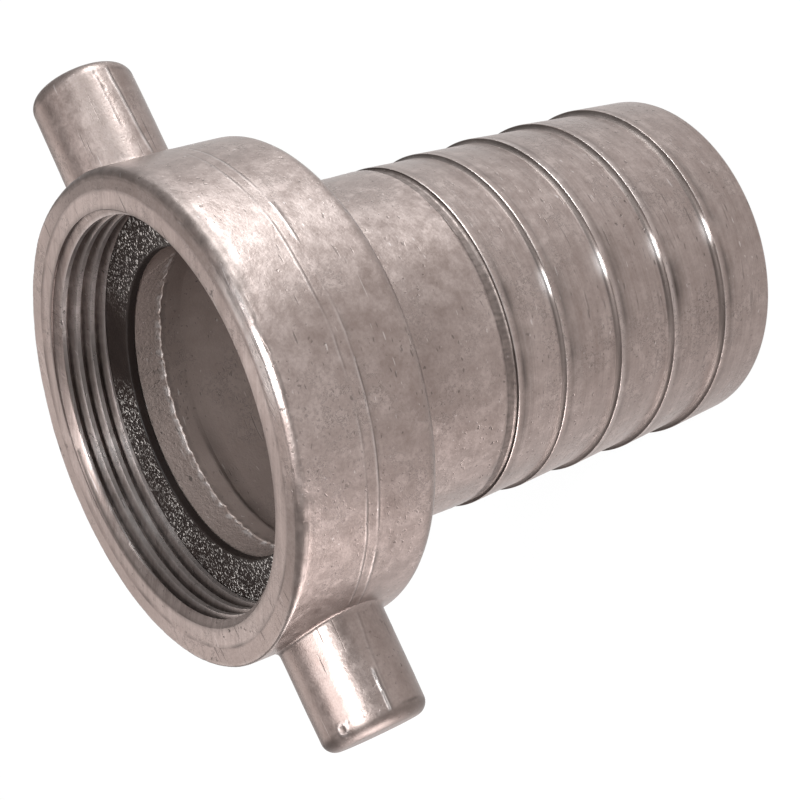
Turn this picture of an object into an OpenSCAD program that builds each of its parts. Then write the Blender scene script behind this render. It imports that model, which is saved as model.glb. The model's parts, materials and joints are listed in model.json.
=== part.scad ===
// Cap and tail hose coupling, 2 inch: a swivel cap with two lugs and an inside
// pipe thread, a barbed tail that the hose is pushed over, and a sealing washer.
// It stands on the end of its tail. The origin is the middle of that end,
// +Z is the common axis and points out of the cap's mouth, and the lugs lie along X.

/* [Barbs] */
// Diameter over the crests of the barbs
crest_d = 51.7; // [48:0.1:56]
// How far each ramp's foot lies under the crests
barb_depth = 0.65; // [0.4:0.05:1.2]
// Length of one ramp from foot to crest
barb_pitch = 10.15; // [7:0.05:14]
// Number of full ramps above the end land
barb_count = 3; // [1:1:5]
// Length of the first ramp, at the end that goes into the hose
end_land = 9.9; // [7:0.1:14]
// Length of the short last ramp, next to the bare neck
top_land = 8.5; // [6:0.1:12]
// Width of the flat on each crest
crest_flat = 0.4; // [0.2:0.1:1]
// Radius of the fillet at each ramp's foot
foot_fillet = 0.35; // [0.1:0.05:0.35]
// Rounding of the tail's outer end edge
end_round = 0.8; // [0.2:0.1:1.2]

/* [Neck] */
// How far the bare neck stands over the feet of the ramps
neck_rise = 0.2; // [0:0.05:0.5]
// Length from the last crest to the underside of the collar
neck_len = 26.1; // [18:0.1:45]
// Width of the turned groove that ends the barbs
relief_w = 1.8; // [1:0.1:3]
// Depth of that groove in the neck
relief_depth = 0.35; // [0.15:0.05:0.6]

/* [Collar] */
// Thickness of the collar that the cap pulls on
collar_t = 6.5; // [4:0.1:12]
// Fillet between neck and collar
collar_fillet = 1; // [0.3:0.1:1]
// Bevel round the collar's edges
collar_bevel = 0.6; // [0.2:0.1:1]

/* [Tail bore] */
// Wall between the cast bore and the feet of the ramps
tail_wall = 2.4; // [2:0.1:5]
// Depth of the machined mouth of the bore
mouth_bore_len = 4.5; // [3:0.1:6]
// How much the machining opened the cast rib, on the radius
mouth_cut = 0.25; // [0.1:0.05:0.4]
// Depth from the collar's face to the step under the rib
rib_len = 7.1; // [6.5:0.1:9]
// How far the cast rib stands in from the bore
rib_rise = 0.55; // [0.45:0.05:1]
// Slope height of the step under the rib
rib_slope = 0.8; // [0.4:0.1:2]
// Bevel inside the tail's end
end_bevel = 0.8; // [0.2:0.1:1.2]

/* [Thread] */
// Diameter over the crests of the inside thread, its bore
thread_minor_d = 56.66; // [56.2:0.02:58]
// Depth of the thread
thread_depth = 1.475; // [1.2:0.025:2]
// Bevel at the mouth of the thread
mouth_bevel = 1.05; // [0.5:0.05:1.2]
// Length of the threaded wall, from the mouth inwards
thread_len = 8; // [6:0.1:20]

/* [Cap] */
// Wall round the undercut behind the thread, at the parting plane
cap_wall = 4.8; // [4.2:0.1:9]
// Draft of the casting, away from the parting plane on both sides
cap_draft = 0.5; // [0:0.1:3]
// Thickness of the lip that holds the collar
lip_t = 5.35; // [3:0.05:10]
// Rounding of the cap's front edge
front_round = 0.8; // [0.5:0.1:3]
// Rounding of the cap's rear edge
rear_round = 2; // [0.5:0.1:3]
// Bevel on the lip's hole
lip_bevel = 0.8; // [0.2:0.1:1.2]

/* [Lugs] */
// Diameter of a lug at its middle
lug_d = 15.4; // [8:0.1:20]
// How far a lug stands out of the wall
lug_len = 15.7; // [6:0.1:40]
// Draft of a lug, on its radius
lug_draft = 0.5; // [0:0.1:3]
// Rounding of a lug's end
lug_round = 1.8; // [0.5:0.1:3]
// Height of the fillet at a lug's root
lug_fillet = 0.9; // [0.3:0.1:2]

/* [Washer] */
// Thickness of the rubber washer
washer_t = 1.5; // [1:0.1:5]
// Bore of the washer
washer_bore_d = 44.6; // [40:0.1:50]

/* [Clearances] */
// Radial gap of the lip's hole round the crests and of the collar in the thread
pass_gap = 0.4; // [0.2:0.05:0.5]
// Gap along the axis over the washer and under the collar
swivel_gap = 0.3; // [0.2:0.05:1]
// Depth of the undercut beyond the thread's roots
undercut_extra = 0.3; // [0.1:0.05:1]
// Gap between washer and undercut
washer_gap = 0.9; // [0.3:0.05:1]

/* [Hidden] */

$fn = 144;
CAST = [0.62, 0.58, 0.55];
TURNED = [0.72, 0.68, 0.65];
RUBBER = [0.09, 0.09, 0.10];
// A cut goes past the face that it opens by this much
past = 1;
// A piece that is added runs into its neighbour by this much
bite = 0.5;
// An edge's arc stands proud of the faces beside it by this hair, so that they cross cleanly
hair = 0.005;

// Tail, from its end upwards
crest_r = crest_d / 2;
foot_r = crest_r - barb_depth;
neck_r = foot_r + neck_rise;
bore_r = foot_r - tail_wall;
rib_r = bore_r - rib_rise;
mouth_bore_r = rib_r + mouth_cut;
end_slope = atan(barb_depth / (end_land - crest_flat));
top_crest_z = end_land + barb_count * barb_pitch + top_land;
collar_z = top_crest_z + neck_len;
tail_top_z = collar_z + collar_t;
ramp_feet = [0, for (i = [0 : barb_count]) end_land + i * barb_pitch];
ramp_crests = [for (i = [0 : barb_count]) end_land + i * barb_pitch, top_crest_z];

// What passes through or turns in something else
thread_minor_r = thread_minor_d / 2;
collar_r = thread_minor_r - pass_gap;
lip_hole_r = crest_r + pass_gap;
undercut_r = thread_minor_r + thread_depth + undercut_extra;
washer_r = undercut_r - washer_gap;

// Cap, from the washer's top upwards and from the collar's underside downwards
washer_top_z = tail_top_z + washer_t;
thread_end_z = washer_top_z + swivel_gap;
mouth_z = thread_end_z + thread_len;
lip_top_z = collar_z - swivel_gap;
cap_rear_z = lip_top_z - lip_t;
parting_z = (mouth_z + cap_rear_z) / 2;
cap_half = (mouth_z - cap_rear_z) / 2;
cap_r = undercut_r + cap_wall;
cap_end_r = cap_r - cap_half * tan(cap_draft);

// Lugs
lug_r = lug_d / 2;
lug_end = cap_r + lug_len;
lug_start = undercut_r + cap_wall / 2;

// Section of a fillet in the corner of a wall on the left and a floor below
module inner_corner(radius) {
    translate([-bite, -bite])
        square([radius + bite, bite]);
    translate([-bite, -bite])
        square([bite, radius + bite]);
    difference() {
        square(radius);
        translate([radius, radius]) circle(radius);
    }
}

// What rounding takes off a corner at the origin: one face runs level to the left,
// the other runs down and leans outwards by the draft
module outer_corner(radius, draft = 0) {
    centre = [radius * tan(draft) - radius / cos(draft), -radius];
    touch = centre + radius * [cos(draft), sin(draft)];
    difference() {
        polygon([
            centre,
            [centre.x, past],
            [touch.x + past, past],
            [touch.x + past, touch.y],
            touch
        ]);
        translate(centre) circle(radius + hair);
    }
}

// Half section of one barb: a ramp with a small flat on its crest
module ramp_section(foot_z, crest_z) {
    polygon([
        [0, foot_z],
        [foot_r, foot_z],
        [crest_r, crest_z - crest_flat],
        [crest_r, crest_z],
        [0, crest_z]
    ]);
}

// Half section of the outside of the tail
module tail_outside() {
    difference() {
        for (i = [0 : len(ramp_feet) - 1])
            ramp_section(ramp_feet[i], ramp_crests[i]);
        translate([foot_r, 0]) mirror([0, 1]) outer_corner(end_round, end_slope);
    }
    for (i = [1 : len(ramp_feet) - 1])
        translate([foot_r, ramp_feet[i]]) inner_corner(foot_fillet);

    // Neck, with the turned groove above the last crest
    difference() {
        translate([0, top_crest_z - bite]) square([neck_r, neck_len + 2 * bite]);
        translate([neck_r - relief_depth, top_crest_z - bite])
            square([relief_depth + past, relief_w + bite]);
    }

    // Collar
    polygon([
        [0, collar_z],
        [collar_r - collar_bevel, collar_z],
        [collar_r, collar_z + collar_bevel],
        [collar_r, tail_top_z - collar_bevel],
        [collar_r - collar_bevel, tail_top_z],
        [0, tail_top_z]
    ]);
    translate([neck_r, collar_z]) mirror([0, 1]) inner_corner(collar_fillet);
}

// Half section of the waterway, from the tail's end to the machined mouth
module tail_waterway() {
    polygon([
        [0, -past],
        [bore_r + end_bevel + past, -past],
        [bore_r, end_bevel],
        [bore_r, tail_top_z - rib_len - rib_slope],
        [rib_r, tail_top_z - rib_len],
        [rib_r, tail_top_z - mouth_bore_len],
        [mouth_bore_r, tail_top_z - mouth_bore_len],
        [mouth_bore_r, tail_top_z + past],
        [0, tail_top_z + past]
    ]);
}

// The tail is one casting: barbs, neck and collar
module tail() {
    color(TURNED)
        rotate_extrude()
            difference() {
                tail_outside();
                tail_waterway();
            }
}

// Half section of the cap's outside: two drafts that meet at the parting plane
module cap_outside() {
    difference() {
        polygon([
            [0, cap_rear_z],
            [cap_end_r, cap_rear_z],
            [cap_r, parting_z],
            [cap_end_r, mouth_z],
            [0, mouth_z]
        ]);
        translate([cap_end_r, mouth_z]) outer_corner(front_round, cap_draft);
        translate([cap_end_r, cap_rear_z]) mirror([0, 1]) outer_corner(rear_round, cap_draft);
    }
}

// Half section of the cap's inside: lip hole, undercut, thread bore and mouth
module cap_inside() {
    polygon([
        [0, cap_rear_z - past],
        [lip_hole_r + lip_bevel + past, cap_rear_z - past],
        [lip_hole_r, cap_rear_z + lip_bevel],
        [lip_hole_r, lip_top_z],
        [undercut_r, lip_top_z],
        [undercut_r, thread_end_z],
        [thread_minor_r, thread_end_z],
        [thread_minor_r, mouth_z - mouth_bevel],
        [thread_minor_r + mouth_bevel + past, mouth_z + past],
        [0, mouth_z + past]
    ]);
}

// Half section of a lug along its own axis, with a rounded end and a root fillet
module lug_section() {
    lug_end_r = lug_r - lug_len / 2 * tan(lug_draft);
    lug_root_r = lug_r + lug_len / 2 * tan(lug_draft);
    difference() {
        polygon([
            [0, lug_start],
            [lug_root_r + lug_fillet, lug_start],
            [lug_root_r + lug_fillet, cap_r - lug_fillet],
            [lug_root_r, cap_r],
            [lug_end_r, lug_end],
            [0, lug_end]
        ]);
        translate([lug_end_r, lug_end]) outer_corner(lug_round, lug_draft);
    }
}

// The cap is one casting: the ring and both lugs
module cap() {
    color(CAST) {
        rotate_extrude()
            difference() {
                cap_outside();
                cap_inside();
            }
        for (side = [-1, 1])
            translate([0, 0, parting_z])
                rotate([0, 90 * side, 0])
                    rotate_extrude() lug_section();
    }
}

// Flat washer that lies on the collar's face, its rim held in the undercut
module washer() {
    color(RUBBER)
        translate([0, 0, tail_top_z])
            rotate_extrude()
                translate([washer_bore_d / 2, 0])
                    square([washer_r - washer_bore_d / 2, washer_t]);
}

tail();
cap();
washer();
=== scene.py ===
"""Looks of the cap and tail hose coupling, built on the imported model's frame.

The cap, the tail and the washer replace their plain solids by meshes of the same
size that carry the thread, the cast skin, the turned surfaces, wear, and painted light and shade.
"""
import json
import math
from types import SimpleNamespace

import bmesh
import bpy
import numpy as np
from mathutils import Matrix, Vector, noise


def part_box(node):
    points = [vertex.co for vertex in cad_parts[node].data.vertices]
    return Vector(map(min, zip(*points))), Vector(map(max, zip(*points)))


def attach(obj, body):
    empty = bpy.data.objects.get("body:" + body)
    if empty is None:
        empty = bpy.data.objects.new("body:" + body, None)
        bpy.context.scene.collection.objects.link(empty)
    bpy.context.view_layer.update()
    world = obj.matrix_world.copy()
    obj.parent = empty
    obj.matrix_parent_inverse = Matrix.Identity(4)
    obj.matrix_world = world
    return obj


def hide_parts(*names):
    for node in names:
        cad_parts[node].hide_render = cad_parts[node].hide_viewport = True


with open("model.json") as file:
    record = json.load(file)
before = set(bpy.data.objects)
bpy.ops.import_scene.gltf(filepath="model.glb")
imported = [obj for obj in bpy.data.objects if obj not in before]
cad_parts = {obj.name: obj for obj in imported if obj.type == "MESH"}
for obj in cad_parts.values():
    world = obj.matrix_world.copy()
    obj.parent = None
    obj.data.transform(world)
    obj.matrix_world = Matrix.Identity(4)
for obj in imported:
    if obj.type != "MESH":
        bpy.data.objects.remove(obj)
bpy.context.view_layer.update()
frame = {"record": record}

MM = 0.001
TURNS = 432
LUG_TURNS = 288
TAU = 2 * math.pi
SHARP = math.radians(38)
WELD_DISTANCE = 2e-6
LEAST_EDGE = 1e-6


# Sizes, in millimetres

def mount(name):
    """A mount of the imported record."""
    return next(m for m in frame["record"]["mounts"] if m["name"] == name)


TAIL_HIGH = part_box("tail")[1] / MM
CAP_LOW, CAP_HIGH = [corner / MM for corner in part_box("cap")]
WASHER_LOW, WASHER_HIGH = [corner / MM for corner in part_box("washer")]

CREST_R = mount("hose_tail")["dims"]["r_mm"]
BORE_R = mount("waterway")["dims"]["r_mm"]
THREAD_R = mount("cap_thread")["dims"]["r_mm"]
TAIL_TOP = TAIL_HIGH.z
COLLAR_R = TAIL_HIGH.x
MOUTH = CAP_HIGH.z
REAR = CAP_LOW.z
CAP_R = CAP_HIGH.y
LUG_END = CAP_HIGH.x
PARTING = (MOUTH + REAR) / 2
WASHER_TOP = WASHER_HIGH.z
WASHER_R = WASHER_HIGH.x

# Tail: the crests stand a little lower towards the neck, as the photograph shows
FOOT_R = CREST_R - 0.65
RAMP_TOPS = [9.9, 20.05, 30.2, 40.35, 48.85]
LAST_CREST = RAMP_TOPS[-1]
CREST_RS = [CREST_R + 0.1, CREST_R + 0.05, CREST_R, CREST_R - 0.1, CREST_R - 0.25]
CREST_FLAT = 0.4
CREST_EDGE = 0.1
FOOT_FILLET = 0.95
TAIL_END_R = FOOT_R + 0.15
END_ROUND = 0.8
END_BEVEL = 0.8
NECK_R = FOOT_R + 0.2
NECK_LEAN = 0.22
GROOVE_W = 1.8
GROOVE_R = NECK_R - 0.35
GROOVE_FILLET = 0.5
NECK_LOW = LAST_CREST + GROOVE_W
COLLAR_Z = TAIL_TOP - 6.5
COLLAR_FILLET = 1
COLLAR_BEVEL = 0.6
COLLAR_EDGE = 0.3
MOUTH_BORE_R = 22.5
MOUTH_BORE_LEN = 4.3
MOUTH_EDGE = 0.1
MOUTH_FLOOR = TAIL_TOP - MOUTH_BORE_LEN
RIB_LEN = 7.1
RIB_R = BORE_R - 0.55
RIB_SLOPE = 0.8
RIB_LOW = TAIL_TOP - RIB_LEN
RIB_FOOT = RIB_LOW - RIB_SLOPE
RIB_WIDER = 0.25
CAST_TAPER = 0.03
CAST_TAPER_Z = 77.5

# Cap
THREAD_PITCH = 25.4 / 11
THREAD_DEPTH = 1.475
THREAD_END = WASHER_TOP + 0.05
THREAD_PHASE = 0.63
MOUTH_BEVEL = 1.05
UNDERCUT_R = THREAD_R + THREAD_DEPTH + 0.3
LIP_TOP = COLLAR_Z - 0.3
LIP_HOLE_R = CREST_R + 0.4
LIP_BEVEL = 0.8
CAP_DRAFT = math.radians(0.5)
NEAR_ROUND = 1.3
NEAR_SLOPE = 0.25
FAR_ROUND = 0.3
REAR_ROUND = 2
FACE_IN_R = 30.1
SPOT_FACE_R = 32
SEAM_GAP = 1.8
SEAM_MARGIN = 0.4
SEAM_HEIGHT = 0.05
SEAM_GROOVE = 0.04
WASHER_BORE_R = 22.3

# Lugs
LUG_R = 7.7
LUG_DRAFT = math.radians(0.5)
LUG_ROUND = 2.0
LUG_ROOT = math.sqrt(CAP_R ** 2 - LUG_R ** 2)
LUG_SUNK = 0.5
ROOT_FLARE = 0.15
UPPER_FILLET = 0.55
LOWER_FILLET = 0.6
LOWER_FILLET_MORE = 0.9
LOWER_SHORTER = 0.45

# Places round the axis, in degrees from +X towards +Y, and how wide they are; each chip has
# its place and its depth in millimetres
NECK_LEAN_AT = 10
# Notches painted bright round here as a glint from the front lamp: a painted highlight
PAINTED_GLINT_AT, PAINTED_GLINT_WIDE = -100.5, 3.8
# Ramps behind the crests painted darkest round here, on the side that lies in shade: painted shade
SHADE_PATCH_AT, SHADE_PATCH_WIDE = -116, 24
# The bore under the rib painted darkest round here: painted shade
RIB_SHADE_AT, RIB_SHADE_WIDE = 108, 24
NEAR_SIDE = -75
RIM_LIFT_AT = 110
SMOOTH_EDGE_AT = -100
CHIPS = [(-62, 0.25), (-68, 0.2), (-76, 0.3), (-84, 0.25), (-88, 0.25), (-128, 0.3), (-134, 0.2)]
CHIP_WIDE = 1.6
# The dark line round the mouth's bevel is strongest round here: painted shade
MOUTH_SHADE_AT, MOUTH_SHADE_WIDE = 70, 60
# The thread's crests painted bright round here as a glint: painted highlight
THREAD_GLINT_AT, THREAD_GLINT_WIDE = 80, 5
# The washer lies in shade round here and carries no painted glints
SHADED_WASHER_AT = 46

# Places round a lug, in degrees
# A band of the upper lug painted darker round here, over its highlight: painted shade
SHADED_BAND_AT, SHADED_BAND_WIDE = 161, 17
FILLET_AT, FILLET_WIDE = 180, 50


# Mesh making

def grid_mesh(name, points, masks, close_u=True, close_v=True, weld=False):
    """A mesh from points[u][v] with one number per point for each mask."""
    nu, nv = points.shape[:2]
    us = np.arange(nu if close_u else nu - 1)
    vs = np.arange(nv if close_v else nv - 1)
    u, v = np.meshgrid(us, vs, indexing="ij")
    u2, v2 = (u + 1) % nu, (v + 1) % nv
    faces = np.stack([u * nv + v, u2 * nv + v, u2 * nv + v2, u * nv + v2], -1).reshape(-1, 4)
    mesh = bpy.data.meshes.new(name)
    mesh.vertices.add(nu * nv)
    mesh.vertices.foreach_set("co", (points.reshape(-1, 3) * MM).astype(np.float32).ravel())
    mesh.loops.add(faces.size)
    mesh.loops.foreach_set("vertex_index", faces.ravel().astype(np.int32))
    mesh.polygons.add(len(faces))
    mesh.polygons.foreach_set("loop_start", np.arange(0, faces.size, 4, dtype=np.int32))
    mesh.update(calc_edges=True)
    for mask, values in masks.items():
        layer = mesh.attributes.new(mask, "FLOAT", "POINT")
        layer.data.foreach_set("value", values.astype(np.float32).ravel())
    if weld:
        weld_points(mesh)
    mesh.polygons.foreach_set("use_smooth", np.ones(len(mesh.polygons), bool))
    mesh.set_sharp_from_angle(angle=SHARP)
    piece = bpy.data.objects.new(name, mesh)
    bpy.context.scene.collection.objects.link(piece)
    return piece


def weld_points(mesh):
    """Joins points that lie on each other and drops the faces that have no area."""
    work = bmesh.new()
    work.from_mesh(mesh)
    bmesh.ops.remove_doubles(work, verts=work.verts, dist=WELD_DISTANCE)
    bmesh.ops.dissolve_degenerate(work, edges=work.edges, dist=LEAST_EDGE)
    work.to_mesh(mesh)
    work.free()
    mesh.validate()


def evenly(start, end, count):
    """A number of points from start up to, but without, end."""
    return [(start[0] + (end[0] - start[0]) * k / count, start[1] + (end[1] - start[1]) * k / count)
            for k in range(count)]


def line(start, end, spacing):
    """Points from start up to, but without, end, about one spacing apart."""
    return evenly(start, end, max(1, round(math.dist(start, end) / spacing)))


def arc(centre, radius, start_deg, end_deg, step_deg=15):
    """Points along an arc, up to but without its end."""
    count = max(1, round(abs(end_deg - start_deg) / step_deg))
    turn = [math.radians(start_deg + (end_deg - start_deg) * k / count) for k in range(count)]
    return [(centre[0] + radius * math.cos(t), centre[1] + radius * math.sin(t)) for t in turn]


def full_turn(count):
    """Angles all the way round, one to a row."""
    return np.linspace(0, TAU, count, endpoint=False)[:, None]


def cylinder_points(angle, r, z):
    """Points from their angle, radius and height."""
    shape = np.broadcast(angle, r, z).shape
    return np.stack([np.broadcast_to(r * np.cos(angle), shape),
                     np.broadcast_to(r * np.sin(angle), shape),
                     np.broadcast_to(z, shape)], -1)


# Noise and smooth steps

def field(points, size, seed, octaves=1):
    """Smooth noise from about -1 to 1 at each point, with lumps of the given size in mm."""
    flat = points.reshape(-1, 3) / size + seed * 17.3
    total = np.zeros(len(flat))
    for k in range(octaves):
        scaled = (flat * 2 ** k).tolist()
        total += np.array([noise.noise(p) for p in scaled]) / 2 ** k
    return total.reshape(points.shape[:-1])


def patchy(value, middle, gain=1.0, low=0, high=1):
    """Noise that is scaled, moved to a middle value and held within low and high."""
    return np.clip(middle + gain * value, low, high)


def near(angle, centre_deg):
    """How far each angle lies from a place on the circle, from -180 to 180 degrees."""
    return (np.degrees(angle) - centre_deg + 180) % 360 - 180


def step(value, low, high):
    """0 below low, 1 above high and a smooth rise between them."""
    t = np.clip((value - low) / (high - low), 0, 1)
    return t * t * (3 - 2 * t)


def bell(distance, width):
    """1 at no distance, with a smooth fall to both sides over about the width."""
    return np.exp(-(distance / width) ** 2)


def between(value, low, high):
    """True where the value lies between low and high."""
    return (value > low) & (value < high)


# Tail

def tail_outside():
    """The tail's section from the end's bevel over the barbs and the neck to the collar's top."""
    out = line((BORE_R, END_BEVEL), (BORE_R + END_BEVEL, 0), 0.4)
    out += line((BORE_R + END_BEVEL, 0), (TAIL_END_R - END_ROUND, 0), 0.8)
    out += arc((TAIL_END_R - END_ROUND, END_ROUND), END_ROUND, -90, 0)
    low_r, low_z = TAIL_END_R, END_ROUND
    for top, crest in zip(RAMP_TOPS, CREST_RS):
        out += line((low_r, low_z), (crest - 0.02, top - CREST_FLAT), 0.75)
        out += line((crest, top - CREST_FLAT + 0.05), (crest, top - CREST_EDGE), 0.25)
        out += arc((crest - CREST_EDGE, top - CREST_EDGE), CREST_EDGE, 0, 90, 45)
        at_neck = top == LAST_CREST
        foot, scoop = (GROOVE_R, GROOVE_FILLET) if at_neck else (FOOT_R, FOOT_FILLET)
        drop = crest - CREST_EDGE - foot
        lean = math.degrees(math.acos(1 - drop / scoop)) if crest - foot < scoop else 90
        low_r, low_z = foot, top + scoop * math.sin(math.radians(lean))
        out += arc((foot + scoop, low_z), scoop, 180 + lean, 180, 9)
    out += line((GROOVE_R, low_z), (GROOVE_R, NECK_LOW), 0.3)
    out += line((NECK_R, NECK_LOW + 0.12), (NECK_R, NECK_LOW + 1.2), 0.3)
    out += line((NECK_R, NECK_LOW + 1.2), (NECK_R, REAR + 1), 0.7)
    out += line((NECK_R, REAR + 1), (NECK_R, COLLAR_Z - COLLAR_FILLET), 1.5)
    out += arc((NECK_R + COLLAR_FILLET, COLLAR_Z - COLLAR_FILLET), COLLAR_FILLET, 180, 90, 30)
    out += line((NECK_R + COLLAR_FILLET, COLLAR_Z), (COLLAR_R - COLLAR_BEVEL, COLLAR_Z), 1)
    out += line((COLLAR_R - COLLAR_BEVEL, COLLAR_Z), (COLLAR_R, COLLAR_Z + COLLAR_BEVEL), 1)
    out += line((COLLAR_R, COLLAR_Z + COLLAR_BEVEL), (COLLAR_R, TAIL_TOP - COLLAR_EDGE), 3)
    return out + line((COLLAR_R, TAIL_TOP - COLLAR_EDGE), (COLLAR_R - COLLAR_EDGE, TAIL_TOP), 0.4)


def tail_inside():
    """The tail's section from the collar's top down the machined mouth, the rib and the bore."""
    rib_top = MOUTH_FLOOR - 0.08
    out = line((COLLAR_R - COLLAR_EDGE, TAIL_TOP), (MOUTH_BORE_R + MOUTH_EDGE, TAIL_TOP), 2)
    out += line((MOUTH_BORE_R + MOUTH_EDGE, TAIL_TOP), (MOUTH_BORE_R, TAIL_TOP - MOUTH_EDGE), 0.2)
    out += line((MOUTH_BORE_R, TAIL_TOP - MOUTH_EDGE), (MOUTH_BORE_R, MOUTH_FLOOR), 0.3)
    out += line((MOUTH_BORE_R, MOUTH_FLOOR), (RIB_R, rib_top), 0.3)
    out += line((RIB_R, rib_top), (RIB_R, RIB_LOW), 0.4)
    out += line((RIB_R, RIB_LOW), (BORE_R, RIB_FOOT), 0.2)
    return out + line((BORE_R, RIB_FOOT), (BORE_R, END_BEVEL), 2.4)


def tail_grid():
    """The tail's plain grid, with which of its columns lie outside and which inside."""
    outline = np.array(tail_outside() + tail_inside())
    height = outline[:, 1]
    angle = full_turn(TURNS)
    r = np.repeat(outline[None, :, 0], TURNS, 0)
    z = np.repeat(outline[None, :, 1], TURNS, 0)
    points = cylinder_points(angle, r, z)
    outside = np.arange(len(outline)) < int(np.argmax(height >= TAIL_TOP))
    return SimpleNamespace(outline=outline, height=height, angle=angle, az=near(angle, 0), r=r, z=z,
                           points=points, outside=outside, inside=~outside,
                           ragged=field(points * [1, 1, 0], 1.0, 3, 3))


def shape_neck(grid, r, z):
    """The cast neck, which leans a little, and the ragged edge of the groove beside it.

    Also returns which points lie in the groove and which of them are cut into the neck.
    """
    at_edge = grid.outside & between(grid.height, LAST_CREST + 0.1, NECK_LOW + 0.4)
    edge = step(z, NECK_LOW - 1.2, NECK_LOW) * (1 - step(z, NECK_LOW + 0.13, NECK_LOW + 1.2))
    z = z + at_edge * edge * 0.13 * grid.ragged
    lean = NECK_LEAN * np.cos(grid.angle - math.radians(NECK_LEAN_AT))
    cast = NECK_R + lean + 0.06 * field(grid.points, 6, 5, 2) + 0.03 * field(grid.points, 1.2, 6)
    neck = grid.outside & between(grid.height, NECK_LOW + 0.05, REAR + 2)
    groove = grid.outside & (grid.height > LAST_CREST + 0.05) & (grid.height <= NECK_LOW + 0.05)
    r = np.where(neck, cast, r)
    r = np.where(groove, np.minimum(r, cast), r)
    return r, z, groove, groove & (r < cast - 0.02)


def shape_rib(grid, r, z):
    """The cast rib behind the machined mouth, and the ragged edge where the cut runs out.

    Also returns which points of the mouth's wall are torn.
    """
    at_edge = grid.inside & between(grid.height, MOUTH_FLOOR - 0.5, MOUTH_FLOOR + 1.2)
    off_edge = step(np.abs(z - MOUTH_FLOOR), 0.1, 1.2)
    z = z + at_edge * (1 - off_edge) * (0.3 * grid.ragged + 0.15)
    wider = RIB_WIDER * (np.clip(1 - grid.az / 36, 0, 1.4) * step(grid.az, -150, -100))
    lumps = 0.02 * field(grid.points, 5, 8)
    cast = RIB_R + wider + lumps
    cast = cast + CAST_TAPER * (grid.height - CAST_TAPER_Z) * (grid.height > MOUTH_FLOOR)
    rib = grid.inside & (grid.height <= MOUTH_FLOOR - 0.05) & (grid.height > RIB_FOOT)
    mouth = grid.inside & between(grid.height, MOUTH_FLOOR - 0.05, TAIL_TOP - 0.05)
    r = np.where(rib, r + wider * (r < RIB_R + 0.3) + lumps, r)
    share = (grid.height - RIB_FOOT) / (MOUTH_FLOOR - RIB_FOOT)
    slope = BORE_R + (RIB_R + wider - BORE_R) * share
    fade = step(grid.az, 78, 102)
    r = np.where(rib, fade * r + (1 - fade) * slope, r)
    torn = mouth & (cast < MOUTH_BORE_R)
    r = np.where(mouth, np.maximum(r, cast), r)
    return r + torn * 0.03 * field(grid.points, 0.9, 9), z, torn


def crest_marks(grid):
    """Painted shade and highlights at the crests: dark step faces, dark lines and patches behind the
    crests, light crest lines and glints.
    """
    worn = patchy(field(grid.points, 7, 10), 0.7, 0.7, 0.2)
    run = np.gradient(grid.outline, axis=0)
    steep = np.abs(run[:, 0]) / (np.hypot(run[:, 0], run[:, 1]) + 1e-9)
    soot = np.zeros_like(grid.z)
    bright = np.zeros_like(grid.z)
    for top in RAMP_TOPS:
        notch = grid.outside & between(grid.height, top - 0.01, top + FOOT_FILLET)
        rim = grid.outside & between(grid.height, top - 0.35, top - 0.02)
        behind = grid.outside & between(grid.height, top - 4.2, top - CREST_FLAT)
        close = behind & (grid.height > top - CREST_FLAT - 0.9)
        glint = bell(grid.az - PAINTED_GLINT_AT, PAINTED_GLINT_WIDE) * (top != LAST_CREST)
        # The step face in each notch painted dark: painted shade
        soot = soot + notch * step(steep, 0.06, 0.35) * (1 - glint) * (0.68 + 0.3 * worn)
        # Darker patches on the ramp behind each crest: painted shade
        shade_patch = patchy(field(grid.points, 5, 40 + top, 2), 0.5, 1.2)
        shade_patch = shade_patch * (0.2 + 0.8 * bell(grid.az - SHADE_PATCH_AT, SHADE_PATCH_WIDE))
        soot = soot + behind * shade_patch * 0.75 * step(grid.height, top - 4.4, top - 0.5)
        # A dark line just behind each crest: painted shade
        soot = soot + close * 0.38 * worn * (1 - glint)
        # A light line along each crest's edge: painted highlight
        bright = bright + 0.25 * rim * worn * (1 - glint)
        # The glint, painted bright in the notch's fillet: painted highlight
        spot_z = grid.height - top
        spot = bell(spot_z - 0.35, 0.6) * 1.2 + bell(spot_z - 0.5, 1.5) * 0.25
        bright = bright + grid.outside * (spot_z > -0.01) * spot * glint
    return soot, bright


def bore_marks(grid, z, torn):
    """Marks inside: painted shade under the rib, a painted shadow line under the torn edge, and light
    burrs on the torn wall.
    """
    # The bore just under the rib painted dark: painted shade
    below = grid.inside & between(grid.height, RIB_LOW - 3.2, RIB_LOW + 0.05)
    rib_shade = bell(near(grid.angle, RIB_SHADE_AT), RIB_SHADE_WIDE) * patchy(field(grid.points, 3, 41, 2), 0.6)
    soot = below * rib_shade * 0.6 * step(grid.height, RIB_LOW - 3.4, RIB_LOW - 0.6)
    # A dark line painted under the mouth's ragged edge: painted shadow
    edge_line = grid.inside & (grid.height <= MOUTH_FLOOR - 0.05) & (grid.height > MOUTH_FLOOR - 0.5)
    soot = soot + edge_line * 0.5 * patchy(field(grid.points, 1.2, 43), 0.5)
    burr = patchy(field(grid.points, 0.8, 42, 2), 0.35, 1.3)
    return soot, torn * step(z, MOUTH_FLOOR + 1.2, MOUTH_FLOOR + 0.1) * 0.9 * burr


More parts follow.
